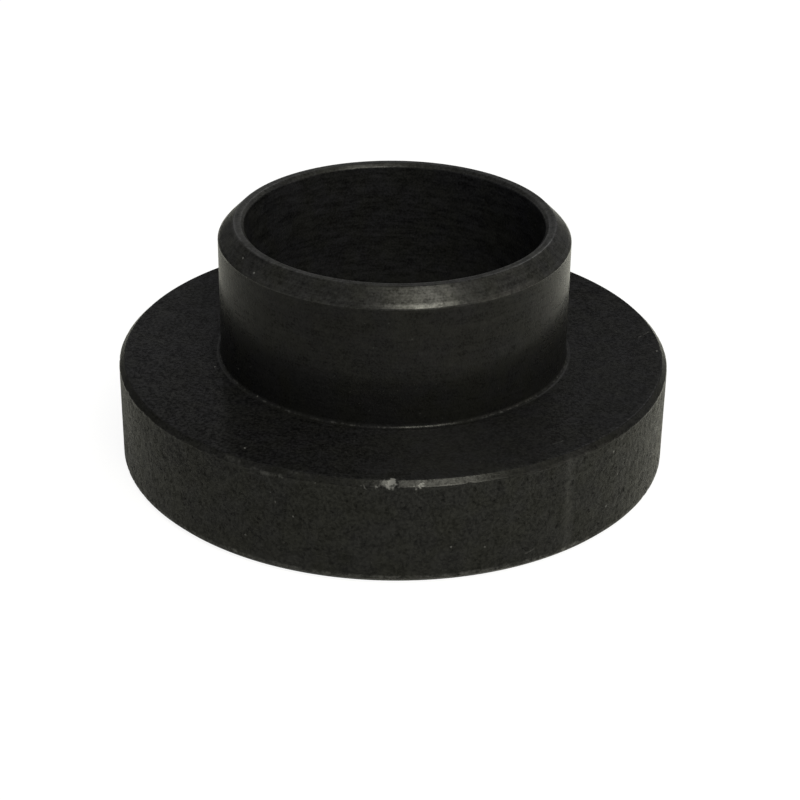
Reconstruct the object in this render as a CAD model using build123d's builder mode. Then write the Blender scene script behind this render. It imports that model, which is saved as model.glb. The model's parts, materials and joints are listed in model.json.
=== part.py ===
# A step washer, turned from one bar of steel. A wide flat flange carries a
# shorter, narrower hub, and one bore runs through both. It stands on the flat
# underside of its flange with the hub up, and the origin is the middle of
# that face.

import os

from build123d import *

# Bore and hub
bore_diameter = 27.2
bore_chamfer = 0.35
hub_wall = 2.4
hub_height = 12.8
hub_lead_in = 1.45
hub_root_radius = 0.4

# Flange
shoulder_width = 9.4
flange_thickness = 9.9
rim_chamfer = 0.55

bore_radius = bore_diameter / 2
hub_radius = bore_radius + hub_wall
flange_radius = hub_radius + shoulder_width
overall_height = flange_thickness + hub_height

with BuildPart() as step_washer:
    # Half of the section, from the wall of the bore out to the rim
    with BuildSketch(Plane.XZ):
        with BuildLine():
            Polyline(
                (bore_radius, 0),
                (flange_radius, 0),
                (flange_radius, flange_thickness),
                (hub_radius, flange_thickness),
                (hub_radius, overall_height),
                (bore_radius, overall_height),
                close=True,
            )
        make_face()
    revolve(axis=Axis.Z)

    # The corners that a turning tool leaves round and those that it breaks
    rings = step_washer.edges().filter_by(GeomType.CIRCLE)
    rim_edges = rings.group_by(SortBy.RADIUS)[-1]
    bore_edges = rings.group_by(SortBy.RADIUS)[0]
    hub_edges = rings.group_by(SortBy.RADIUS)[1]
    hub_root = hub_edges.sort_by(Axis.Z)[0]
    hub_nose = hub_edges.sort_by(Axis.Z)[-1]

    fillet(hub_root, hub_root_radius)
    chamfer(hub_nose, hub_lead_in)
    chamfer(rim_edges, rim_chamfer)
    chamfer(bore_edges, bore_chamfer)

step_washer.part.label = "step_washer"

os.makedirs("parts", exist_ok=True)
export_step(step_washer.part, "parts/step_washer.step")
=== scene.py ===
# %% [markdown]
# This scene dresses one turned part for its picture: a step washer, a thick
# round flange with a shorter hub on top and one bore through both. It was cut
# from a bar of steel and then blackened. The solid model gives every size.
# Here the part gets the skin of the real one: tool marks, rounded corners, a
# raw rim, a thin black oxide, and the wear that handling leaves on it.

import json
import math
from collections import Counter

import bpy
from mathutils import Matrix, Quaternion, Vector, noise


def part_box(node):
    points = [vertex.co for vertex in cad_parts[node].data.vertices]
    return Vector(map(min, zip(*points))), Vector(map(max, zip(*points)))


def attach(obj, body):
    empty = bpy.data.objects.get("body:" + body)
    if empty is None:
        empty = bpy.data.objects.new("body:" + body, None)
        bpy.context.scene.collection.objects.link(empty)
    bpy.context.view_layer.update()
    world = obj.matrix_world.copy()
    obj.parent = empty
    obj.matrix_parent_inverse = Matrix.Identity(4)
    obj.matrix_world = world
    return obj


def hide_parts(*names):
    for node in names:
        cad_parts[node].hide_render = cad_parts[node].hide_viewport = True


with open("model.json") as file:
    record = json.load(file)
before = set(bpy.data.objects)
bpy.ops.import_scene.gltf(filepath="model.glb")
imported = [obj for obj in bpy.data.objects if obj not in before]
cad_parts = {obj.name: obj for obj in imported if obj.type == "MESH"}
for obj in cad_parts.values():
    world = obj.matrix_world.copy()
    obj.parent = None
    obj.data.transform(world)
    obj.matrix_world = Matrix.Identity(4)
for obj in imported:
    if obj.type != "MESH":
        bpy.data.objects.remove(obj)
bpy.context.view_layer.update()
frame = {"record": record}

# %% [markdown]
# Blender works in metres, but a machinist thinks in millimetres. All sizes
# below are in millimetres, and they are turned into metres where a thing is
# placed. The sizes come from the mounts that the solid model states, so the
# dressed part can't drift away from it.

# %% Read the sizes of the part
MM = 0.001

mounts = {mount["name"]: mount for mount in frame["record"]["mounts"]}
node_low, node_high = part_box("step_washer")

flange_radius = round(node_high.x / MM, 3)
overall_height = round(node_high.z / MM, 3)
shoulder_height = mounts["shoulder"]["pos_m"][2] / MM
bore_radius = mounts["bore"]["dims"]["r_mm"]
hub_radius = mounts["hub"]["dims"]["r_mm"]

hub_wall_middle = mounts["hub"]["pos_m"][2] / MM
hub_wall_half = mounts["hub"]["dims"]["length_mm"] / 2
root_radius = hub_wall_middle - hub_wall_half - shoulder_height
lead_in = overall_height - hub_wall_middle - hub_wall_half
bore_chamfer = (overall_height - mounts["bore"]["dims"]["length_mm"]) / 2
rim_chamfer = 0.55

print("flange", flange_radius, "hub", hub_radius, "bore", bore_radius, "height", overall_height)
print("lead-in", round(lead_in, 3), "root", round(root_radius, 3), "bore chamfer", round(bore_chamfer, 3))

# %% [markdown]
# The camera comes first, because it decides how large a scratch or a tool
# mark looks. It is a close-up from about 0.2 m away, looking down at the part
# by about 28 degrees. The lens is given as on a real camera, by its focal
# length and the width of its sensor.

# %% Place the camera
camera_place = Vector((0, -172.849, 95.168)) * MM
camera_aim = Vector((0.666, 0, 4.243)) * MM
camera_roll = math.radians(0.7332)
focal_length = 93.1
sensor_width = 36

camera_data = bpy.data.cameras.new("camera")
camera_data.lens = focal_length
camera_data.sensor_width = sensor_width
camera_data.clip_start = 10 * MM
camera_data.clip_end = 10

camera = bpy.data.objects.new("camera", camera_data)
camera.location = camera_place
look = (camera_aim - camera_place).to_track_quat("-Z", "Y")
camera.rotation_mode = "QUATERNION"
camera.rotation_quaternion = look @ Quaternion((0, 0, 1), camera_roll)
bpy.context.scene.collection.objects.link(camera)
bpy.context.scene.camera = camera
bpy.context.scene.view_settings.view_transform = "Standard"
print("camera distance in mm:", round((camera_aim - camera_place).length / MM, 1))

# %% [markdown]
# Materials are made of nodes. Two short helpers keep that readable: one puts
# a node into a tree and fills its sockets, by a plain value or by a link from
# another node, and one does the same for a single sum. A third helper starts
# a node group, which is an effect that several materials can share.

# %% Helpers for node trees
def put(tree, kind, sockets=None, **settings):
    """Adds a node, sets its options and fills its sockets with values or links."""
    made = tree.nodes.new(kind)
    for name, value in settings.items():
        setattr(made, name, value)
    for socket, value in (sockets or {}).items():
        if isinstance(value, bpy.types.NodeSocket):
            tree.links.new(value, made.inputs[socket])
        else:
            made.inputs[socket].default_value = value
    return made


def sum_of(tree, operation, first, second=0.0, third=0.0):
    """One step of arithmetic. Returns the socket that holds the answer."""
    made = put(tree, "ShaderNodeMath", {0: first, 1: second, 2: third}, operation=operation)
    return made.outputs[0]


def ramp(tree, value, start, end, low=0.0, high=1.0):
    """Turns a value that runs from start to end into one from low to high, smoothly."""
    sockets = {"Value": value, "From Min": start, "From Max": end, "To Min": low, "To Max": high}
    made = put(tree, "ShaderNodeMapRange", sockets, interpolation_type="SMOOTHSTEP")
    return made.outputs["Result"]


def start_group(name, inputs, outputs):
    """A node group with named number sockets. Returns its tree, its input node and its output node."""
    tree = bpy.data.node_groups.new(name, "ShaderNodeTree")
    for label, value in inputs.items():
        socket = tree.interface.new_socket(label, in_out="INPUT", socket_type="NodeSocketFloat")
        socket.default_value = value
    for label, kind in outputs.items():
        tree.interface.new_socket(label, in_out="OUTPUT", socket_type=kind)
    entry = tree.nodes.new("NodeGroupInput")
    leave = tree.nodes.new("NodeGroupOutput")
    return tree, entry.outputs, leave.inputs


NUMBER = "NodeSocketFloat"

# %% [markdown]
# The part stands on a plain white table in soft light. The table has to look
# white to the camera, whatever the lamps do, so those rays meet a surface
# that glows by itself, and only a small share of its brightness comes from
# the lamps. That share keeps a faint shadow of the part. A gloss on the part
# looks at the table from close by, right beside the shadow, so for those
# rays nearly all of the brightness comes from the lamps. It also finds that
# the white is only a sheet of cream paper with a painted light of the window
# on it, which makes it brighter on the window's side, and that the bench
# beyond it is dim, which keeps the chamfers dark where they look at the
# horizon.

# %% Lay the white table
table_reach = 3000
table_drop = 0.01
camera_glow, camera_lit = 0.90, 0.16
gloss_glow, gloss_lit = 0.15, 0.85
paper_reach, paper_end, beyond_paper = 80, 140, 0.15
paper_cream = 0.09
far_side, window_side = 0.78, 1.20
side_reach = 45

bpy.ops.mesh.primitive_plane_add(size=2 * table_reach * MM, location=(0, 0, -table_drop * MM))
table = bpy.context.object
table.name = "table"
table_finish = bpy.data.materials.new("white_table")
table_finish.use_nodes = True
tree = table_finish.node_tree
tree.nodes.clear()


def sharp_rays(tree):
    """Two masks: rays of a gloss or through glass, and those together with the camera's own."""
    path = tree.nodes.new("ShaderNodeLightPath").outputs
    gloss = sum_of(tree, "MAXIMUM", path["Is Glossy Ray"], path["Is Transmission Ray"])
    return gloss, sum_of(tree, "MAXIMUM", path["Is Camera Ray"], gloss)


in_gloss, seen = sharp_rays(tree)
place = tree.nodes.new("ShaderNodeTexCoord").outputs["Object"]
from_part = put(tree, "ShaderNodeVectorMath", {0: place}, operation="LENGTH").outputs["Value"]
paper = ramp(tree, from_part, paper_reach * MM, paper_end * MM, 1.0, beyond_paper)
# Painted light of the window: in a gloss the paper is brighter towards the window's side.
to_window = put(tree, "ShaderNodeSeparateXYZ", {0: place}).outputs["X"]
painted_window_light = ramp(tree, to_window, -side_reach * MM, side_reach * MM, far_side, window_side)
paper = sum_of(tree, "MULTIPLY", paper, painted_window_light)
lit_in_gloss = sum_of(tree, "MULTIPLY", paper, gloss_lit)
glow_in_gloss = sum_of(tree, "MULTIPLY", paper, gloss_glow)
lit_share = put(tree, "ShaderNodeMix", {0: in_gloss, 2: camera_lit, 3: lit_in_gloss}).outputs[0]
glow_share = put(tree, "ShaderNodeMix", {0: in_gloss, 2: camera_glow, 3: glow_in_gloss}).outputs[0]
blue_kept = sum_of(tree, "MULTIPLY_ADD", in_gloss, -paper_cream, 1.0)
lit_blue = sum_of(tree, "MULTIPLY", lit_share, blue_kept)
lit_colour = put(tree, "ShaderNodeCombineColor", {0: lit_share, 1: lit_share, 2: lit_blue})
plain_white = put(tree, "ShaderNodeBsdfDiffuse", {"Color": (0.8, 0.8, 0.8, 1)})
lit_part = put(tree, "ShaderNodeBsdfDiffuse", {"Color": lit_colour.outputs[0]})
glow_part = put(tree, "ShaderNodeEmission", {"Color": (1, 1, 1, 1), "Strength": glow_share})
shown_white = put(tree, "ShaderNodeAddShader", {0: lit_part.outputs[0], 1: glow_part.outputs[0]})
choice = put(tree, "ShaderNodeMixShader", {0: seen, 1: plain_white.outputs[0], 2: shown_white.outputs[0]})
put(tree, "ShaderNodeOutputMaterial", {"Surface": choice.outputs[0]})
table.data.materials.append(table_finish)
print("table laid at", -table_drop, "mm")

# %% [markdown]
# Above the table is an even, soft surround that lights the part from all
# round. In a gloss it shows dimmer than it lights, the way a small light
# tent does from inside. Upright surfaces look over the white table and pick
# up bright edges, while flat faces look at the dim ceiling and stay dark. A
# camera near the ground sees past the table, so to it the surround is white.
# Behind on the left is a dark doorway, and the left ends of the chamfers look
# at that. How near a ray comes to it is told by the dot product of the two
# directions, which is 1 where they agree.

# %% Fill the surround
surround_light = 0.42
tent_glow = 0.22
backdrop_white = 1.0
doorway = (-0.72, 0.66, 0.20)
doorway_from, doorway_full, doorway_glow = 0.80, 0.97, 0.05

world = bpy.data.worlds.new("light_tent")
world.use_nodes = True
bpy.context.scene.world = world
tree = world.node_tree
tree.nodes.clear()
even_light = put(tree, "ShaderNodeBackground", {"Color": (1, 1, 1, 1), "Strength": surround_light})
outlook = tree.nodes.new("ShaderNodeTexCoord").outputs["Generated"]
to_doorway = put(tree, "ShaderNodeVectorMath", {0: outlook, 1: doorway}, operation="DOT_PRODUCT")
shown_glow = ramp(tree, to_doorway.outputs["Value"], doorway_from, doorway_full, tent_glow, doorway_glow)
shown_tent = put(tree, "ShaderNodeBackground", {"Color": (1, 1, 1, 1), "Strength": shown_glow})
backdrop = put(tree, "ShaderNodeBackground", {"Color": (1, 1, 1, 1), "Strength": backdrop_white})
in_gloss, seen = sharp_rays(tree)
shown = put(tree, "ShaderNodeMixShader", {0: in_gloss, 1: backdrop.outputs[0], 2: shown_tent.outputs[0]})
choice = put(tree, "ShaderNodeMixShader", {0: seen, 1: even_light.outputs[0], 2: shown.outputs[0]})
put(tree, "ShaderNodeOutputWorld", {"Surface": choice.outputs[0]})
print("surround ready, it lights with", surround_light, "and shows", tent_glow)

# %% [markdown]
# Four lamps do the rest. The soft box hangs high on the right and a little
# in front, and its light is slightly warm. Its place is chosen by the
# brightest part of the hub's lead-in chamfer, which works like a small
# mirror: the box has to stand where its lower edge sends the view. Three
# windows are dimmer. The right and the left one lift those sides, and the
# back one draws the thin bright lines along the corners on the right. A
# lamp's power is worked out from how bright its face is.

# %% Hang the lamps
def hang_lamp(name, azimuth, elevation, distance, size, brightness, colour):
    """A square lamp that faces the part. Angles are in degrees, sizes in mm."""
    turned, raised = math.radians(azimuth), math.radians(elevation)
    direction = Vector((math.cos(raised) * math.cos(turned), math.cos(raised) * math.sin(turned),
                        math.sin(raised)))
    data = bpy.data.lights.new(name, "AREA")
    data.shape = "SQUARE"
    data.size = size * MM
    data.color = colour
    data.energy = brightness * math.pi * (size * MM) ** 2
    lamp = bpy.data.objects.new(name, data)
    lamp.location = direction * distance * MM
    lamp.rotation_mode = "QUATERNION"
    lamp.rotation_quaternion = direction.to_track_quat("Z", "Y")
    lamp.visible_camera = False
    bpy.context.scene.collection.objects.link(lamp)
    print(name, "power in watts:", round(data.energy, 2))


hang_lamp("soft_box", azimuth=294, elevation=51, distance=500, size=230, brightness=9.9,
          colour=(1, 0.98, 0.83))
hang_lamp("right_window", azimuth=345, elevation=22, distance=600, size=450, brightness=0.8,
          colour=(1, 0.92, 0.78))
hang_lamp("left_window", azimuth=118, elevation=29, distance=600, size=400, brightness=0.22,
          colour=(1, 1, 1))
hang_lamp("back_window", azimuth=60, elevation=40, distance=600, size=280, brightness=1.1,
          colour=(1, 1, 1))

# %% [markdown]
# A turned part is one section spun round an axis, so its mesh is made the
# same way. The section is a short list of corners. Each says how far it is
# rounded, and how the stretch that follows it is finished and divided. The
# raw rim gets the closest rows, because it is the one surface whose bumps
# are real shape here. The others are true, and their marks are finer than a
# mesh can hold. The lowest part of the lead-in is worn a little steeper than
# the rest. That narrow facet is what shows the soft box as one thick line.

# %% Write down the section
FACED, HUB, NOSE, EDGE, BORE, RIM = range(6)
edge_round = 0.20
edge_steps, root_steps = 4, 6
worn_round = 1.0
worn_rise, worn_drop = 0.23, 0.066
row_on_rim = 0.22
row_on_chamfer = 0.16
row_elsewhere = 2.6
edge_band = 0.12

flat_edge = flange_radius - rim_chamfer
bore_mouth = bore_radius + bore_chamfer
nose_radius = hub_radius - lead_in
lead_in_foot = overall_height - lead_in
worn_foot = lead_in_foot - worn_drop

corners = [
    # radius, height, rounding, finish of the next stretch, spacing of its rows
    (bore_mouth, 0, edge_round, FACED, row_elsewhere),
    (flat_edge, 0, edge_round, EDGE, row_on_chamfer),
    (flange_radius, rim_chamfer, edge_round, RIM, row_on_rim),
    (flange_radius, shoulder_height - rim_chamfer, edge_round, EDGE, row_on_chamfer),
    (flat_edge, shoulder_height, edge_round, FACED, row_elsewhere),
    (hub_radius, shoulder_height, root_radius, HUB, row_elsewhere),
    (hub_radius, worn_foot, edge_round, NOSE, row_elsewhere),
    (hub_radius - worn_rise, lead_in_foot + worn_rise, worn_round, NOSE, row_elsewhere),
    (nose_radius, overall_height, edge_round, NOSE, row_elsewhere),
    (bore_mouth, overall_height, edge_round, NOSE, row_elsewhere),
    (bore_radius, overall_height - bore_chamfer, edge_round, BORE, row_elsewhere),
    (bore_radius, bore_chamfer, edge_round, EDGE, row_elsewhere),
]
print(len(corners), "corners in the section")

# %% [markdown]
# A corner is rounded by a small arc that touches the stretches on both
# sides. The inside corner at the foot of the hub has the radius of the tool
# that cut it, so the same function makes it. Real outside corners are never
# quite sharp either, and the thin bright lines along them are what makes
# metal look solid. A second list says where hands and other parts rub: on
# every outside corner and on the worn facet, but not on the inside corner.

# %% Round the corners and divide the stretches
def corner_arc(before, corner, after, radius, steps):
    """Points of the arc that rounds one corner, from one stretch to the next."""
    to_before = (before - corner).normalized()
    to_after = (after - corner).normalized()
    half_angle = to_before.angle(to_after) / 2
    setback = radius / math.tan(half_angle)
    centre = corner + (to_before + to_after).normalized() * radius / math.sin(half_angle)
    first = corner + to_before * setback - centre
    last = corner + to_after * setback - centre
    sweep = first.angle(last)
    shares = [step / steps for step in range(steps + 1)]
    return [centre + (first * math.sin((1 - share) * sweep) + last * math.sin(share * sweep))
            / math.sin(sweep) for share in shares]


def divide_stretch(start, end, spacing):
    """Points between two corners: one close to each end, and even steps between those two."""
    length = (end - start).length
    band = min(edge_band, length / 3)
    near_start, near_end = start.lerp(end, band / length), end.lerp(start, band / length)
    pieces = max(1, round((near_end - near_start).length / spacing))
    return [near_start.lerp(near_end, piece / pieces) for piece in range(pieces + 1)]


def divide_section(corners):
    """Rows of the section: their points, whether they get rubbed, and their finish."""
    places = [Vector((radius, height)) for radius, height, *_ in corners]
    arcs = []
    for index, corner in enumerate(corners):
        rounding = corner[2]
        after = places[(index + 1) % len(places)]
        steps = root_steps if rounding == root_radius else edge_steps
        arcs.append(corner_arc(places[index - 1], places[index], after, rounding, steps))
    points, rubbed, finishes = [], [], []
    for index, (_, height, rounding, finish, spacing) in enumerate(corners):
        stretch = divide_stretch(arcs[index][-1], arcs[(index + 1) % len(arcs)][0], spacing)
        points += arcs[index] + stretch
        on_arc = 0.0 if rounding == root_radius else 1.0
        on_stretch = 1.0 if height == worn_foot else 0.0
        rubbed += [on_arc] * len(arcs[index]) + [on_stretch] * len(stretch)
        finishes += [finish] * (len(arcs[index]) + len(stretch))
    return points, rubbed, finishes


rows, rubbed_rows, finish_of_row = divide_section(corners)
print(len(rows), "rows in the section")

# %% [markdown]
# The rim was never turned. It still has the skin of the rolled bar, which is
# a little uneven and has small pits. The unevenness is made here as real
# shape, always inwards, so that the washer never grows past its size. Three
# shallow lobes come from the rolls. Swell and pocks are read from a noise
# that fills space, so they close on themselves round the rim.

# %% Describe the raw rim
lobe_count, lobe_turn, lobe_depth = 3, 0.6, 0.03
swell_size, swell_depth = 5.0, 0.05
pock_size, pock_depth, pock_share = 0.6, 0.12, 0.1
finer = 2.1


def raw_depth(angle, height):
    """How far the skin of the bar lies under the full radius, in mm."""
    place = Vector((math.cos(angle) * flange_radius, math.sin(angle) * flange_radius, height))
    lobes = lobe_depth * (0.5 + 0.5 * math.cos(lobe_count * angle + lobe_turn))
    swell = swell_depth * (0.5 + 0.5 * noise.noise(place / swell_size))
    dimple = noise.noise(place / pock_size) + 0.5 * noise.noise(place / pock_size * finer)
    pock = pock_depth * max(0.0, dimple - pock_share)
    return lobes + swell + pock


print("raw depth at the front:", round(raw_depth(-math.pi / 2, shoulder_height / 2), 4), "mm")

# %% [markdown]
# The two chamfers were cut after the bar was rolled, so they stay true
# cones. Where the rim lies deeper, the edge of a chamfer slides along its
# own cone, and that is what makes its line waver on the real part. One
# formula does both: a point moves inwards by its share of the depth, and up
# or down by as much near the ends of the rim.

# %% Let the chamfers follow the raw rim
def limit(value, low, high):
    """The value, kept between a lowest and a highest one."""
    return min(max(value, low), high)


def follow_rim(angle, radius, height):
    """The new radius and height of a point on the rim or on one of its chamfers."""
    wall_low, wall_high = rim_chamfer, shoulder_height - rim_chamfer
    middle = (wall_low + wall_high) / 2
    share = limit((radius - flat_edge) / rim_chamfer, 0, 1)
    upward = limit((height - middle) / (wall_high - middle), -1, 1)
    depth = share * raw_depth(angle, limit(height, wall_low, wall_high))
    return radius - depth, height + upward * depth


# %% [markdown]
# Handling has left a few bruises on the edge of the flange. Each is a small
# dent, given by where it sits, its size, its depth and how pale the blow has
# left the black skin. The largest is the nick in front. The mesh takes the
# dents, and the material reads the same list later for the pale skin.

# %% List the bruises on the upper chamfer
bruises = [
    # azimuth in degrees, shift up the chamfer, size, depth, how pale it is
    (269.8, 0.02, 0.50, 0.09, 1.0),
    (270.3, 0.30, 0.26, 0.04, 1.0),
    (268.6, 0.05, 0.30, 0.04, 0.5),
    (267.2, -0.20, 0.24, 0.03, 0.6),
    (264.8, -0.20, 0.18, 0.02, 0.4),
    (274.2, -0.27, 0.18, 0.02, 0.6),
    (275.4, -0.15, 0.26, 0.03, 1.0),
    (255.2, -0.25, 0.16, 0.02, 0.5),
]


def on_chamfer(azimuth, shift):
    """A place on the flange's upper chamfer, in mm, by its shift from the middle of it."""
    angle = math.radians(azimuth)
    radius = flange_radius - rim_chamfer / 2 - shift
    height = shoulder_height - rim_chamfer / 2 + shift
    return Vector((math.cos(angle) * radius, math.sin(angle) * radius, height))


def dent_at(point):
    """How deep the bruises reach at a point."""
    deepest = 0.0
    for azimuth, shift, size, depth, _ in bruises:
        distance = (point - on_chamfer(azimuth, shift)).length
        deepest = max(deepest, depth * (1 - (distance / size) ** 2))
    return deepest


# %% [markdown]
# Now the section is spun round the axis. Every point of the section makes
# one ring, and each pair of neighbouring rings is joined by four-sided faces.
# The last column joins the first, so the mesh closes on itself and has no
# seam and no stray face. A bruise pushes points square into the chamfer,
# which slopes at 45 degrees, so they go down as far as they go in.

# %% Spin the section into a mesh
steps_round = 700
bruised_from, bruised_to = math.radians(220), math.radians(280)
into_cone = math.sqrt(0.5)

vertices = []
rubbed_mask = []
for step in range(steps_round):
    angle = 2 * math.pi * step / steps_round
    outward = Vector((math.cos(angle), math.sin(angle), 0))
    for row, point in enumerate(rows):
        radius, height = point
        if radius > flat_edge - edge_round:
            radius, height = follow_rim(angle, radius, height)
            if height > shoulder_height - 2 * rim_chamfer and bruised_from < angle < bruised_to:
                inward = dent_at(outward * radius + Vector((0, 0, height))) * into_cone
                radius -= inward
                height -= inward
        vertices.append((outward * radius + Vector((0, 0, height))) * MM)
        rubbed_mask.append(rubbed_rows[row])

row_count = len(rows)
faces = []
face_finish = []
for step in range(steps_round):
    here = step * row_count
    there = (step + 1) % steps_round * row_count
    for row in range(row_count):
        above = (row + 1) % row_count
        faces.append((here + row, there + row, there + above, here + above))
        face_finish.append(finish_of_row[row])
print(len(vertices), "points,", 2 * len(faces), "triangles")

# %% [markdown]
# The lists become one mesh. The mask of what gets rubbed goes with it as a
# named value on its points, the way a hand would paint it on, and every face
# gets the number of its finish. Smooth shading with weighted normals keeps
# the wide faces flat right up to their rounded corners.

# %% Build the visible washer
mesh = bpy.data.meshes.new("step_washer_turned")
mesh.from_pydata(vertices, [], faces)
mesh.polygons.foreach_set("use_smooth", [True] * len(faces))
mesh.attributes.new("corner", "FLOAT", "POINT").data.foreach_set("value", rubbed_mask)

washer = bpy.data.objects.new("step_washer_turned", mesh)
bpy.context.scene.collection.objects.link(washer)
weighted = washer.modifiers.new("weighted_normals", "WEIGHTED_NORMAL")
weighted.mode = "FACE_AREA"
uses = Counter(edge for polygon in mesh.polygons for edge in polygon.edge_keys)
print("edges that don't join two faces:", sum(count != 2 for count in uses.values()))

# %% [markdown]
# The first shared effect is the mark of the turning tool. It is a noise that
# is stretched all the way round the axis, so it reads as fine rings on a
# flat face and as fine hoops on a wall. Height minus radius is a measure
# that changes along every stretch of the section, which lets one group serve
# faces, walls and the lead-in chamfer.

# %% Shared effect, marks of the turning tool
def place_in_mm(tree):
    """Where a point lies on the part, in mm."""
    place = tree.nodes.new("ShaderNodeTexCoord").outputs["Object"]
    scaled = put(tree, "ShaderNodeVectorMath", {0: place, "Scale": 1 / MM}, operation="SCALE")
    return scaled.outputs["Vector"]


def scaled_place(tree, size):
    """The place on the part counted in steps of a size that is set from outside."""
    finer = sum_of(tree, "DIVIDE", 1.0, size)
    scaled = put(tree, "ShaderNodeVectorMath", {0: place_in_mm(tree), "Scale": finer},
                 operation="SCALE")
    return scaled.outputs["Vector"]


tree, entry, leave = start_group(
    "turning_marks", {"Pitch": 0.3, "Depth": 0.004, "Wander": 2.0}, {"Height": NUMBER, "Shade": NUMBER})
along = put(tree, "ShaderNodeSeparateXYZ", {0: place_in_mm(tree)}).outputs
squares = sum_of(tree, "MULTIPLY_ADD", along["X"], along["X"],
                 sum_of(tree, "MULTIPLY", along["Y"], along["Y"]))
radius_here = sum_of(tree, "SQRT", squares)
across = sum_of(tree, "DIVIDE", sum_of(tree, "SUBTRACT", along["Z"], radius_here), entry["Pitch"])
round_x = sum_of(tree, "MULTIPLY", sum_of(tree, "DIVIDE", along["X"], radius_here), entry["Wander"])
round_y = sum_of(tree, "MULTIPLY", sum_of(tree, "DIVIDE", along["Y"], radius_here), entry["Wander"])
ring_place = put(tree, "ShaderNodeCombineXYZ", {"X": across, "Y": round_x, "Z": round_y})
rings = put(tree, "ShaderNodeTexNoise", {"Vector": ring_place.outputs[0], "Scale": 1.0,
                                         "Detail": 3.0, "Roughness": 0.65}).outputs[0]
centred = sum_of(tree, "SUBTRACT", rings, 0.5)
tree.links.new(sum_of(tree, "MULTIPLY", centred, entry["Depth"]), leave["Height"])
tree.links.new(ramp(tree, rings, 0.3, 0.7), leave["Shade"])
print("group ready: turning_marks")

# %% [markdown]
# The next effects are the skin itself. A black oxide is never even: it has
# broad clouds, a fine salt of crystals, and a faint stain that is olive in
# one patch and cool in the next. All are plain noise, at sizes that each
# material chooses, and on the mill scale of the rim the clouds are uneven
# ground as well.

# %% Shared effects, clouds, grain and stain of the oxide
tree, entry, leave = start_group(
    "oxide_cloud", {"Size": 4.0, "Depth": 0.0}, {"Height": NUMBER, "Shade": NUMBER})
cloud = put(tree, "ShaderNodeTexNoise", {"Vector": scaled_place(tree, entry["Size"]), "Scale": 1.0,
                                         "Detail": 4.0, "Roughness": 0.75}).outputs[0]
centred = sum_of(tree, "SUBTRACT", cloud, 0.5)
tree.links.new(sum_of(tree, "MULTIPLY", centred, entry["Depth"]), leave["Height"])
tree.links.new(ramp(tree, cloud, 0.3, 0.7), leave["Shade"])

tree, entry, leave = start_group(
    "fine_grain", {"Size": 0.2, "Depth": 0.02}, {"Height": NUMBER, "Shade": NUMBER})
salt = put(tree, "ShaderNodeTexNoise", {"Vector": scaled_place(tree, entry["Size"]), "Scale": 1.0,
                                        "Detail": 2.0, "Roughness": 0.7}).outputs[0]
centred = sum_of(tree, "SUBTRACT", salt, 0.5)
tree.links.new(sum_of(tree, "MULTIPLY", centred, entry["Depth"]), leave["Height"])
tree.links.new(ramp(tree, salt, 0.35, 0.65), leave["Shade"])

tree, entry, leave = start_group("oxide_stain", {"Size": 2.6}, {"Mask": NUMBER})
stain = put(tree, "ShaderNodeTexNoise", {"Vector": scaled_place(tree, entry["Size"]), "Scale": 1.0,
                                         "Detail": 2.0}).outputs[0]
tree.links.new(ramp(tree, stain, 0.36, 0.64), leave["Mask"])
print("groups ready: oxide_cloud, fine_grain, oxide_stain")

# %% [markdown]
# Pits and specks are both spots at random places. Space is divided into
# cells with one point each, and a spot is what lies near that point. Each
# cell also has a random colour: one channel picks the share of the cells
# that get a spot at all, and another one varies its size. A little noise
# shakes the place first, so that no spot is quite round.

# %% Shared effects, pits and specks
def shaken_place(tree, size, amount):
    """The place on the part in mm, pushed about by a noise of a size and an amount in mm."""
    shake = put(tree, "ShaderNodeTexNoise", {"Vector": scaled_place(tree, size), "Scale": 1.0,
                                             "Detail": 2.0}).outputs["Color"]
    centred = put(tree, "ShaderNodeVectorMath", {0: shake, 1: (0.5, 0.5, 0.5)}, operation="SUBTRACT")
    pushed = put(tree, "ShaderNodeVectorMath", {0: centred.outputs[0], "Scale": amount},
                 operation="SCALE")
    moved = put(tree, "ShaderNodeVectorMath", {0: place_in_mm(tree), 1: pushed.outputs[0]},
                operation="ADD")
    return moved.outputs[0]


def spots(tree, spacing, size, share):
    """A mask of uneven spots of a size in mm, in a share of cells of a spacing in mm."""
    counted = put(tree, "ShaderNodeVectorMath", {0: shaken_place(tree, size, size),
                                                 "Scale": sum_of(tree, "DIVIDE", 1.0, spacing)},
                  operation="SCALE")
    cells = put(tree, "ShaderNodeTexVoronoi", {"Vector": counted.outputs[0], "Scale": 1.0})
    chance = put(tree, "ShaderNodeSeparateColor", {0: cells.outputs["Color"]}).outputs
    reach = sum_of(tree, "MULTIPLY", sum_of(tree, "DIVIDE", size, spacing),
                   sum_of(tree, "ADD", chance[1], 0.5))
    spot = ramp(tree, cells.outputs["Distance"], reach, 0.0)
    chosen = sum_of(tree, "LESS_THAN", chance[0], share)
    return sum_of(tree, "MULTIPLY", spot, chosen)


tree, entry, leave = start_group(
    "pits", {"Spacing": 0.6, "Size": 0.2, "Share": 0.6, "Depth": 0.04},
    {"Height": NUMBER, "Mask": NUMBER})
pit = spots(tree, entry["Spacing"], entry["Size"], entry["Share"])
sunk = sum_of(tree, "MULTIPLY", pit, entry["Depth"])
tree.links.new(sum_of(tree, "MULTIPLY", sunk, -1.0), leave["Height"])
tree.links.new(pit, leave["Mask"])

tree, entry, leave = start_group(
    "specks", {"Spacing": 2.0, "Size": 0.1, "Share": 0.5}, {"Mask": NUMBER})
tree.links.new(spots(tree, entry["Spacing"], entry["Size"], entry["Share"]), leave["Mask"])
print("groups ready: pits, specks")

# %% [markdown]
# Scratches are spots as well, in a space that is squeezed until they are
# long and thin. The squeeze is turned by an angle, so that two copies of the
# group give two lays of scratches that cross. A line fills only the middle
# of its cell, so the cell is made wider than the line by the same measure.

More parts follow.
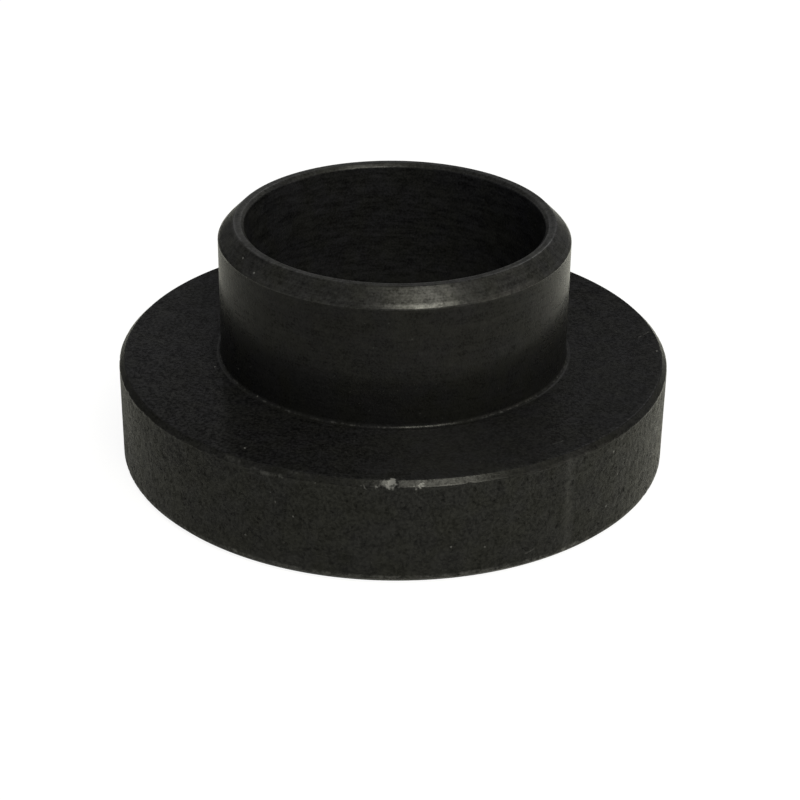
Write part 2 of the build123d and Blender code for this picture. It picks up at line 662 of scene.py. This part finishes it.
# %% Shared effect, short scratches
line_core, line_edge, line_in_cell = 0.05, 0.18, 0.12

tree, entry, leave = start_group(
    "scratches", {"Length": 2.0, "Width": 0.05, "Share": 0.3, "Lay": 0.5}, {"Mask": NUMBER})
lay = put(tree, "ShaderNodeCombineXYZ", {"X": entry["Lay"], "Y": entry["Lay"],
                                         "Z": sum_of(tree, "MULTIPLY", entry["Lay"], 2.0)})
turned = put(tree, "ShaderNodeVectorRotate", {"Vector": place_in_mm(tree),
                                              "Rotation": lay.outputs[0]}, rotation_type="EULER_XYZ")
axes = put(tree, "ShaderNodeSeparateXYZ", {0: turned.outputs[0]}).outputs
long_way = sum_of(tree, "DIVIDE", axes["X"], entry["Length"])
thin_way = sum_of(tree, "DIVIDE", line_in_cell, entry["Width"])
thin_y = sum_of(tree, "MULTIPLY", axes["Y"], thin_way)
thin_z = sum_of(tree, "MULTIPLY", axes["Z"], thin_way)
squeezed = put(tree, "ShaderNodeCombineXYZ", {"X": long_way, "Y": thin_y, "Z": thin_z})
cells = put(tree, "ShaderNodeTexVoronoi", {"Vector": squeezed.outputs[0], "Scale": 1.0})
line = ramp(tree, cells.outputs["Distance"], line_edge, line_core)
chance = put(tree, "ShaderNodeSeparateColor", {0: cells.outputs["Color"]}).outputs[0]
chosen = sum_of(tree, "LESS_THAN", chance, entry["Share"])
tree.links.new(sum_of(tree, "MULTIPLY", line, chosen), leave["Mask"])
print("group ready: scratches")

# %% [markdown]
# Corners get rubbed. The group reads the mask that came with the mesh, so it
# only shows on outside corners and on the worn facet, and a noise breaks it
# up as hands and other parts do. It stands for a smoother, glossier oxide,
# not for bare metal.

# %% Shared effect, rubbed corners
tree, entry, leave = start_group(
    "rubbed_corners", {"Amount": 0.5, "Break Size": 0.3}, {"Mask": NUMBER})
corner = put(tree, "ShaderNodeAttribute", attribute_name="corner").outputs["Fac"]
patches = put(tree, "ShaderNodeTexNoise", {"Vector": scaled_place(tree, entry["Break Size"]),
                                           "Scale": 1.0, "Detail": 3.0}).outputs[0]
rubbed = sum_of(tree, "MULTIPLY", corner, ramp(tree, patches, 0.4, 0.58, 0.1, 1.0))
tree.links.new(sum_of(tree, "MULTIPLY", rubbed, entry["Amount"]), leave["Mask"])
print("group ready: rubbed_corners")

# %% [markdown]
# Where the part was hit or scraped, the oxide is gone or crushed to a pale
# grey. Next to the bruises there are a few scrapes, each a short line from
# one place to another, and crumbs that stick to the skin. The short lines just
# above the rim's lower edge are painted reflection of the white table, and the
# one along the foot of the lead-in is a painted highlight of the soft box. A
# soft pale upright streak crosses the rim. Two thin broken lines run all the
# way round, and both are painted light: one above the lower edge is a painted
# reflection of the white table, and one at the foot of the hub is a painted
# highlight of its fillet.

# %% List the scrapes, crumbs and painted highlight lines
def on_face(azimuth, radius):
    """A place on the flat face round the hub, in mm."""
    angle = math.radians(azimuth)
    return Vector((math.cos(angle) * radius, math.sin(angle) * radius, shoulder_height))


def on_rim(azimuth, height):
    """A place on the rim, in mm."""
    angle = math.radians(azimuth)
    return Vector((math.cos(angle) * flange_radius, math.sin(angle) * flange_radius, height))


def on_lead_in(azimuth, upward):
    """A place on the lead-in chamfer, in mm, by its height over the foot of it."""
    angle = math.radians(azimuth)
    radius = hub_radius - upward
    height = lead_in_foot + upward
    return Vector((math.cos(angle) * radius, math.sin(angle) * radius, height))


scrapes_and_glints = [
    # start, end, width, how pale it is
    (on_chamfer(236.2, 0.05), on_chamfer(239.2, -0.05), 0.34, 0.16),
    (on_chamfer(242.2, -0.15), on_chamfer(243.5, -0.20), 0.26, 0.20),
    (on_chamfer(244.5, -0.26), on_chamfer(247.2, -0.32), 0.32, 0.22),
    (on_chamfer(248.3, -0.25), on_chamfer(248.8, -0.28), 0.24, 0.40),
    (on_chamfer(250.1, 0.12), on_chamfer(253.8, 0.10), 0.30, 0.09),
    # These three, just above the lower edge, are painted reflection of the white table.
    (on_rim(232.0, 0.6), on_rim(234.5, 0.6), 0.24, 0.30),
    (on_rim(236.6, 0.75), on_rim(238.2, 0.75), 0.32, 0.60),
    (on_rim(305.6, 0.65), on_rim(309.4, 0.75), 0.30, 0.60),
    (on_face(5.7, 23.1), on_face(8.6, 24.4), 0.12, 0.35),
    (on_face(306.5, 23.0), on_face(309.1, 23.1), 0.10, 0.20),
    (on_rim(296.7, 1.5), on_rim(298.9, 1.7), 0.10, 0.35),
    (on_rim(291.0, 5.6), on_rim(292.5, 5.5), 0.16, 0.20),
    (on_rim(248.8, 2.15), on_rim(251.5, 1.7), 0.10, 0.22),
    (on_rim(251.5, 1.7), on_rim(254.3, 1.64), 0.10, 0.22),
    # Painted highlight of the soft box along the foot of the lead-in, not a scrape.
    (on_lead_in(276.5, 0.08), on_lead_in(282.5, 0.08), 0.26, 0.45),
]
crumbs = [
    on_face(195.9, 16.9), on_face(237.7, 23.4), on_face(359.1, 24.5),
    on_lead_in(209.8, 0.78), on_lead_in(219.1, 0.39),
    on_rim(246.3, 7.55), on_rim(247.3, 6.8), on_rim(251.0, 5.7), on_rim(240.6, 2.7),
    on_rim(281.4, 3.45), on_rim(288.1, 3.0), on_rim(317.5, 3.0),
    on_rim(318.9, 8.2), on_rim(318.9, 6.9), on_rim(320.9, 5.6),
]
crumb_size, crumb_core, crumb_pale = 0.14, 0.03, 0.9
streak_azimuth, streak_width, streak_pale = 306.5, 0.80, 0.085
# Painted reflection of the white table: a broken pale line just above the lower edge.
table_reflection_rise, table_reflection_width, table_reflection_core, table_reflection_pale = 0.12, 0.24, 0.03, 0.28
# Painted highlight of the fillet: a dashed pale line round the foot of the hub.
fillet_glint_inset, fillet_glint_width, fillet_glint_pale = 0.12, 0.13, 0.24
print(len(bruises), "bruises,", len(scrapes_and_glints), "scrapes,", len(crumbs), "crumbs")

# %% [markdown]
# One group turns those lists into one mask of pale wear and of painted
# highlights and reflections. It takes the strongest mark at each place. The
# shaken place gives every mark a ragged outline. For a scrape it works out how
# far along the line the nearest point lies, and then how far away that point
# is. A noise of flecks then breaks the lines up, because a scrape only reaches
# the high spots of the skin.

# %% Shared effect, marks of wear and painted highlights
def distance_to(tree, place, point):
    """How far a place is from a point, in mm."""
    made = put(tree, "ShaderNodeVectorMath", {0: place, 1: point}, operation="DISTANCE")
    return made.outputs["Value"]


def distance_to_line(tree, place, start, end):
    """How far a place is from the line between two points, in mm."""
    line = end - start
    from_start = put(tree, "ShaderNodeVectorMath", {0: place, 1: start}, operation="SUBTRACT")
    dot = put(tree, "ShaderNodeVectorMath", {0: from_start.outputs[0], 1: line / line.length_squared},
              operation="DOT_PRODUCT")
    share = put(tree, "ShaderNodeClamp", {"Value": dot.outputs["Value"]}).outputs[0]
    nearest = put(tree, "ShaderNodeVectorMath", {0: line, "Scale": share}, operation="SCALE")
    return distance_to(tree, from_start.outputs[0], nearest.outputs[0])


ragged_size = 0.35
slight_size, slight_share = 0.2, 0.2
bruise_core = 0.5
flecks_per_mm = 1.8
skipped = 0.10

tree, entry, leave = start_group("wear_and_painted_glints", {"Ragged": 0.9}, {"Mask": NUMBER})
ragged = shaken_place(tree, ragged_size, entry["Ragged"])
less = sum_of(tree, "MULTIPLY", entry["Ragged"], slight_share)
slightly = shaken_place(tree, slight_size, less)
found = []
for azimuth, shift, size, _, palest in bruises:
    away = distance_to(tree, ragged, on_chamfer(azimuth, shift))
    found.append(ramp(tree, away, size, size * bruise_core * palest, 0.0, palest))
flecks = put(tree, "ShaderNodeTexNoise", {"Vector": place_in_mm(tree), "Scale": flecks_per_mm,
                                          "Detail": 4.0, "Roughness": 0.7}).outputs[0]
broken = ramp(tree, flecks, 0.40, 0.6, skipped, 1.0)
dashed = ramp(tree, flecks, 0.49, 0.62)
for start, end, width, palest in scrapes_and_glints:
    line = ramp(tree, distance_to_line(tree, slightly, start, end), width, 0.0, 0.0, palest)
    found.append(sum_of(tree, "MULTIPLY", line, broken))
for place in crumbs:
    found.append(ramp(tree, distance_to(tree, slightly, place), crumb_size, crumb_core, 0.0, crumb_pale))
flat = put(tree, "ShaderNodeVectorMath", {0: slightly, 1: (1, 1, 0)}, operation="MULTIPLY").outputs[0]
away = distance_to(tree, flat, on_rim(streak_azimuth, 0))
found.append(ramp(tree, away, streak_width, 0.0, 0.0, streak_pale))
upright = put(tree, "ShaderNodeSeparateXYZ", {0: slightly}).outputs["Z"]
# Painted reflection of the table, a broken pale line above the lower edge.
from_edge = sum_of(tree, "ABSOLUTE", sum_of(tree, "SUBTRACT", upright, rim_chamfer + table_reflection_rise))
table_reflection = ramp(tree, from_edge, table_reflection_width, table_reflection_core, 0.0, table_reflection_pale)
found.append(sum_of(tree, "MULTIPLY", table_reflection, broken))
# Painted highlight of the fillet at the foot of the hub, in dashes.
from_axis = put(tree, "ShaderNodeVectorMath", {0: flat}, operation="LENGTH").outputs["Value"]
in_section = put(tree, "ShaderNodeCombineXYZ", {"X": from_axis, "Z": upright}).outputs[0]
fillet_glint_place = (hub_radius + fillet_glint_inset, 0, shoulder_height + fillet_glint_inset)
away = distance_to(tree, in_section, fillet_glint_place)
fillet_glint = ramp(tree, away, fillet_glint_width, 0.0, 0.0, fillet_glint_pale)
found.append(sum_of(tree, "MULTIPLY", fillet_glint, dashed))
strongest = found[0]
for mark in found[1:]:
    strongest = sum_of(tree, "MAXIMUM", strongest, mark)
tree.links.new(strongest, leave["Mask"])
print("group ready: wear_and_painted_glints")

# %% [markdown]
# Every zone of the part has the same blackened steel with its own values.
# One function builds it. Black oxide is very dark and throws back little
# light when seen straight on, so the ground has a low index of refraction,
# and it still goes bright at a grazing look. Its crystals are glossier than
# the ground. They are a coat whose weight follows the tone, so the light
# spots of the skin are the shiny ones too, and rubbed corners have more of
# it. The turned zones stretch the gloss of the ground across the tool marks,
# as fine grooves do. A tone of 0 is the dark colour and 1 the light one.

# %% The blackened steel
def use(tree, group, **values):
    """Places a shared effect and sets its values. Returns its outputs."""
    made = put(tree, "ShaderNodeGroup", node_tree=bpy.data.node_groups[group])
    for label, value in values.items():
        made.inputs[label.replace("_", " ")].default_value = value
    return made.outputs


def blend_colour(tree, share, first, second):
    """A colour between two others, which may be plain colours or links."""
    made = put(tree, "ShaderNodeMix", data_type="RGBA")
    for socket, value in ((made.inputs[0], share), (made.inputs[6], first), (made.inputs[7], second)):
        if isinstance(value, bpy.types.NodeSocket):
            tree.links.new(value, socket)
        elif isinstance(value, tuple):
            socket.default_value = (*value, 1)
        else:
            socket.default_value = value
    return made.outputs[2]


olive_stain = (1.00, 1.01, 0.93)
cool_stain = (1.00, 1.00, 1.06)
# Pale colour of worn skin, also used for the painted highlights and reflections.
pale_skin_and_glint = (0.14, 0.14, 0.135)
dust_colour = (0.15, 0.15, 0.14)
scratch_pale = 0.10
pit_tone = -0.3
tone_roughens = 0.16
rubbed_smooths, rubbed_coats = -0.2, 0.4
across_marks = 0.25


def blackened_steel(name, dark, light, index, gloss, roughness, stretch, marks, grain, cloud, shares,
                    rubbed, polish=0.18, pits=None, wear_and_glints=False):
    """One zone's finish. Colours are of the oxide, sizes and depths are in mm."""
    finish = bpy.data.materials.new(name)
    finish.use_nodes = True
    tree = finish.node_tree
    tree.nodes.clear()

    marks = use(tree, "turning_marks", **marks)
    grain = use(tree, "fine_grain", **grain)
    cloud = use(tree, "oxide_cloud", **cloud)
    corners = use(tree, "rubbed_corners", Amount=rubbed)
    dust = use(tree, "specks", Spacing=2.0, Size=0.11, Share=0.12)
    scratch = use(tree, "scratches", Length=2.0, Width=0.05, Share=0.06, Lay=0.5)
    cross = use(tree, "scratches", Length=1.4, Width=0.04, Share=0.06, Lay=1.7)

    tone = sum_of(tree, "MULTIPLY", grain["Shade"], shares["grain"])
    tone = sum_of(tree, "MULTIPLY_ADD", cloud["Shade"], shares["cloud"], tone)
    tone = sum_of(tree, "MULTIPLY_ADD", marks["Shade"], shares["marks"], tone)
    relief = sum_of(tree, "ADD", marks["Height"], grain["Height"])
    relief = sum_of(tree, "ADD", relief, cloud["Height"])
    if pits:
        pits = use(tree, "pits", **pits)
        relief = sum_of(tree, "ADD", relief, pits["Height"])
        tone = sum_of(tree, "MULTIPLY_ADD", pits["Mask"], pit_tone, tone)
    bump = put(tree, "ShaderNodeBump", {"Height": relief, "Distance": MM, "Strength": 1.0})

    colour = blend_colour(tree, tone, dark, light)
    stain = blend_colour(tree, use(tree, "oxide_stain")["Mask"], olive_stain, cool_stain)
    colour = put(tree, "ShaderNodeVectorMath", {0: colour, 1: stain}, operation="MULTIPLY").outputs[0]
    lines = sum_of(tree, "MAXIMUM", scratch["Mask"], cross["Mask"])
    colour = blend_colour(tree, sum_of(tree, "MULTIPLY", lines, scratch_pale), colour, dust_colour)
    colour = blend_colour(tree, dust["Mask"], colour, dust_colour)
    # Pale marks of wear, with painted highlights and reflections among them.
    if wear_and_glints:
        colour = blend_colour(tree, use(tree, "wear_and_painted_glints")["Mask"], colour, pale_skin_and_glint)

    rough = sum_of(tree, "MULTIPLY_ADD", tone, tone_roughens, roughness - tone_roughens / 2)
    rough = sum_of(tree, "MULTIPLY_ADD", corners["Mask"], rubbed_smooths, rough)
    crystals = sum_of(tree, "MULTIPLY", tone, gloss)
    coat = sum_of(tree, "MULTIPLY_ADD", corners["Mask"], rubbed_coats, crystals)

    shader = put(tree, "ShaderNodeBsdfPrincipled", {
        "Base Color": colour, "Roughness": rough, "Normal": bump.outputs[0], "IOR": index,
        "Coat Weight": coat, "Coat Roughness": polish})
    if stretch:
        shader.inputs["Anisotropic"].default_value = stretch
        shader.inputs["Anisotropic Rotation"].default_value = across_marks
        round_axis = put(tree, "ShaderNodeTangent", direction_type="RADIAL", axis="Z")
        tree.links.new(round_axis.outputs[0], shader.inputs["Tangent"])
    put(tree, "ShaderNodeOutputMaterial", {"Surface": shader.outputs[0]})
    print("made", name)
    return finish


# %% [markdown]
# The flat faces were faced off with fine, even cuts. Their rings throw the
# light outwards and inwards, which draws one soft streak across the face.

# %% Finish of the faced surfaces
faced_finish = blackened_steel(
    "faced_blackened_steel", dark=(0.0003, 0.0003, 0.0003), light=(0.0124, 0.0124, 0.0128),
    index=1.20, gloss=0.25, roughness=0.74, stretch=0.83,
    marks={"Pitch": 0.35, "Depth": 0.016, "Wander": 1.6},
    grain={"Size": 0.28, "Depth": 0.09},
    cloud={"Size": 1.2},
    shares={"grain": 0.6, "cloud": 0.25, "marks": 0.15},
    rubbed=0.1, wear_and_glints=True)

# %% [markdown]
# The hub was turned along the axis. Its marks run round like hoops, and the
# light on them smears a little up and down.

# %% Finish of the hub
hub_finish = blackened_steel(
    "hub_blackened_steel", dark=(0.0050, 0.0050, 0.0049), light=(0.0106, 0.0106, 0.0104),
    index=1.11, gloss=0.22, roughness=0.31, stretch=0.15,
    marks={"Pitch": 0.3, "Depth": 0.008, "Wander": 1.8},
    grain={"Size": 0.21, "Depth": 0.035},
    cloud={"Size": 1.2},
    shares={"grain": 0.42, "cloud": 0.33, "marks": 0.25},
    rubbed=0.35, wear_and_glints=True)

# %% [markdown]
# Rings are pushed over the nose of the hub, so its oxide is smoother than
# the rest, in worn patches, and has a stronger gloss.

# %% Finish of the hub's nose
nose_finish = blackened_steel(
    "nose_blackened_steel", dark=(0.0036, 0.0036, 0.0033), light=(0.0200, 0.0200, 0.0187),
    index=1.15, gloss=0.66, roughness=0.36, stretch=0.15,
    marks={"Pitch": 0.3, "Depth": 0.010, "Wander": 1.8},
    grain={"Size": 0.21, "Depth": 0.03},
    cloud={"Size": 0.8},
    shares={"grain": 0.3, "cloud": 0.45, "marks": 0.25},
    rubbed=0.75, polish=0.29, wear_and_glints=True)

# %% [markdown]
# The narrow chamfers of the flange, and the lower one of the bore, are cut
# last and handled less than the nose. They are a little darker.

# %% Finish of the narrow chamfers
edge_finish = blackened_steel(
    "edge_blackened_steel", dark=(0.0026, 0.0026, 0.0024), light=(0.0150, 0.0150, 0.0139),
    index=1.12, gloss=0.38, roughness=0.36, stretch=0.15,
    marks={"Pitch": 0.3, "Depth": 0.010, "Wander": 1.8},
    grain={"Size": 0.18, "Depth": 0.03},
    cloud={"Size": 0.9},
    shares={"grain": 0.45, "cloud": 0.35, "marks": 0.2},
    rubbed=0.3, polish=0.26, wear_and_glints=True)

# %% [markdown]
# The bore was opened with a boring bar, which leaves a coarser, streakier
# hoop than the outside has.

# %% Finish of the bore
bore_finish = blackened_steel(
    "bore_blackened_steel", dark=(0.0005, 0.0005, 0.0006), light=(0.0192, 0.0195, 0.0206),
    index=1.17, gloss=0.10, roughness=0.45, stretch=0.3,
    marks={"Pitch": 0.4, "Depth": 0.026, "Wander": 6.0},
    grain={"Size": 0.2, "Depth": 0.06},
    cloud={"Size": 1.5},
    shares={"grain": 0.4, "cloud": 0.2, "marks": 0.4},
    rubbed=0.5)

# %% [markdown]
# The rim has no tool marks, so their depth and their share are zero. Its
# oxide sits on mill scale, so it is rougher and faintly olive, with pits that
# are too small for the mesh.

# %% Finish of the raw rim
rim_finish = blackened_steel(
    "raw_rim_blackened_steel", dark=(0.0082, 0.0082, 0.0077), light=(0.0135, 0.0137, 0.0126),
    index=1.10, gloss=0.29, roughness=0.50, stretch=0.0,
    marks={"Pitch": 2.0, "Depth": 0.0, "Wander": 20.0},
    grain={"Size": 0.26, "Depth": 0.09},
    cloud={"Size": 1.1, "Depth": 0.30},
    shares={"grain": 0.65, "cloud": 0.35, "marks": 0.0},
    rubbed=0.3, wear_and_glints=True,
    pits={"Spacing": 0.65, "Size": 0.24, "Share": 0.8, "Depth": 0.16})

# %% [markdown]
# The finishes go into the slots of the mesh in the order of the zone
# numbers, and the visible washer takes the place of the plain solid. It
# rides on the part's one body.

# %% Dress the washer and put it in the frame
for finish in (faced_finish, hub_finish, nose_finish, edge_finish, bore_finish, rim_finish):
    mesh.materials.append(finish)
mesh.polygons.foreach_set("material_index", face_finish)
mesh.update()

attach(washer, "root")
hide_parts("step_washer")
